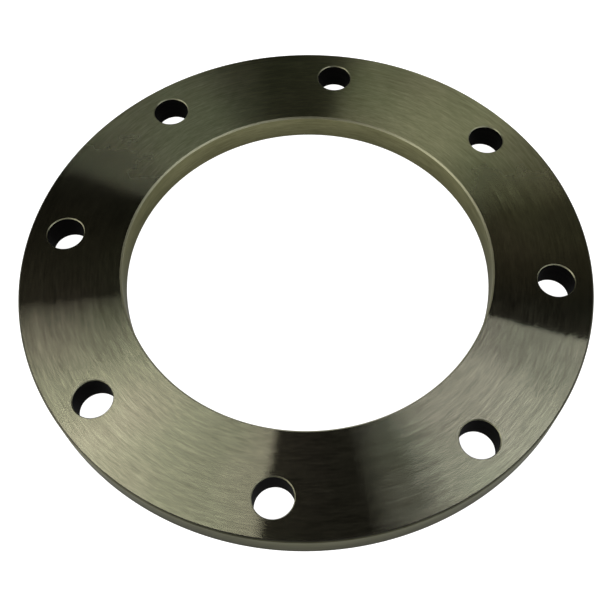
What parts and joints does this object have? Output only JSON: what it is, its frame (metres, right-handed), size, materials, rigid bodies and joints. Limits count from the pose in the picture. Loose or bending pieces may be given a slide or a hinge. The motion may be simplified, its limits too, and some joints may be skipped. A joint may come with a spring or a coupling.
{
  "type": "plate ring flange",
  "caption": "Flat machined steel ring flange with a plain through bore and a circle of through bolt holes, for bolting pipe ends together.",
  "frame": {"origin": "centre of the bore in the plane of the back face", "axes": "+Z along the bore axis, out of the gasket face; the first bolt hole is centred on +X and the rest follow every 45 degrees, so one also lies on +Y"},
  "size_m": [0.343, 0.343, 0.018],
  "materials": {
    "machined_steel": "bright lathe-turned steel with fine concentric tool marks, a light oil film and slightly darker rim, bore and holes"
  },
  "bodies": {
    "root": {"flange_ring": "machined_steel"}
  },
  "joints": []
}
